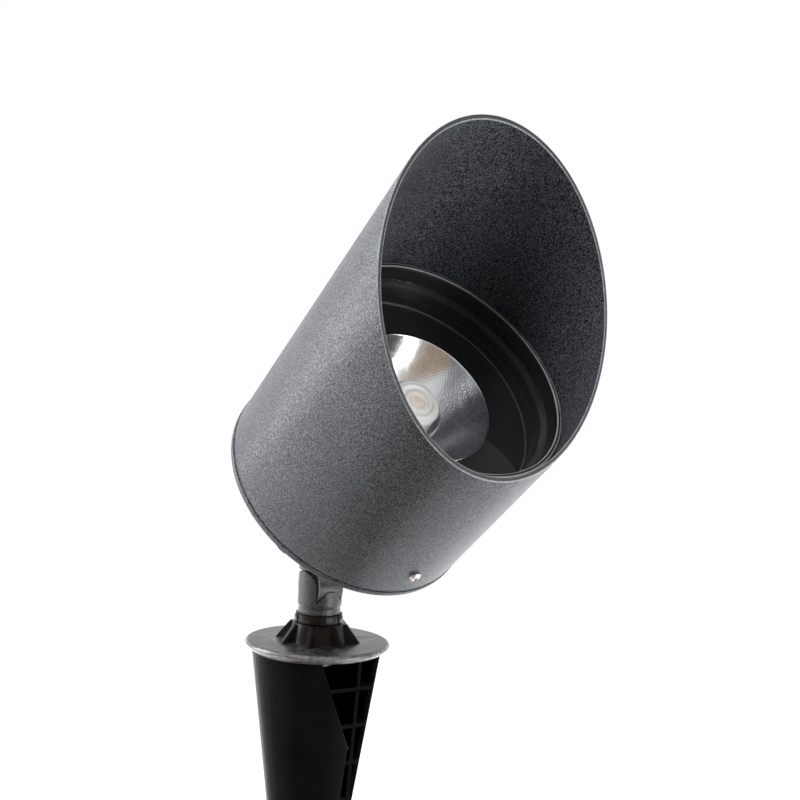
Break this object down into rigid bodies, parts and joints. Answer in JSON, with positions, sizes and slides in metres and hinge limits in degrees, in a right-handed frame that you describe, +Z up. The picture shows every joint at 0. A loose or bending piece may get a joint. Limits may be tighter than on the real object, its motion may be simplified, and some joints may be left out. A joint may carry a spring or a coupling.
{
  "type": "outdoor spotlight",
  "caption": "Round outdoor spotlight with a slant-cut glare hood, tilting on a forked knuckle above a ribbed ground stake.",
  "frame": {"origin": "stake's axis at the soil line, under the flange", "axes": "+Z up along the stake, the lamp aims towards -Y and up, the tilt axis lies along X"},
  "size_m": [0.1408, 0.189, 0.4919],
  "materials": {
    "coat": "fine textured powder coat",
    "coat_knuckle": "satin powder coat",
    "housing_coat": "matt powder coat",
    "black_trim": "satin black",
    "stake_plastic": "satin moulded",
    "washer_plastic": "satin",
    "driver_case": "satin",
    "lead_sleeve": "satin",
    "board": "gloss white mask",
    "phosphor": "glossy resin",
    "optic_resin": "clear moulded",
    "pad": "matt",
    "seal": "matt",
    "steel": "stainless",
    "bright_metal": "polished",
    "reflector_metal": "bright faceted",
    "front_glass": "clear tempered"
  },
  "bodies": {
    "stake": {"ground_stake": "stake_plastic"},
    "stem": {"knuckle_stem": "coat_knuckle", "cable_bushing": "seal", "pivot_bolt": "steel", "pivot_washers": "washer_plastic"},
    "lock_ring": {"lock_ring": "stake_plastic"},
    "head": {"knuckle_arm": "coat_knuckle", "arm_screws": "steel", "arm_gasket": "seal", "rear_cap": "coat", "cap_gasket": "seal", "cap_screws": "steel", "housing": "housing_coat", "driver_module": "driver_case", "lead_grommet": "seal", "led_leads": "lead_sleeve", "thermal_pad": "pad", "led_board": "board", "led_emitter": "phosphor", "led_screws": "steel", "optic_holder": "bright_metal", "optic": "optic_resin", "reflector": "reflector_metal", "baffle_cup": "black_trim", "lens_gasket": "seal", "lens_glass": "front_glass", "lens_ring": "black_trim"},
    "hood": {"hood": "coat", "set_screw": "steel"}
  },
  "joints": [
    {"name": "stem_swivel", "type": "hinge", "parent": "stake", "child": "stem", "pos_m": [0, 0, 0.02], "axis": [0, 0, 1], "range_deg": [-180, 180]},
    {"name": "lock_ring_turn", "type": "hinge", "parent": "stem", "child": "lock_ring", "pos_m": [0, 0, 0.018], "axis": [0, 0, 1], "continuous": true},
    {"name": "head_tilt", "type": "hinge", "parent": "stem", "child": "head", "pos_m": [0, 0, 0.035], "axis": [-1, 0, 0], "range_deg": [-30, 50]},
    {"name": "hood_turn", "type": "hinge", "parent": "head", "child": "hood", "pos_m": [0, -0.02849, 0.0986], "axis": [0, -0.766, 0.6428], "continuous": true}
  ]
}
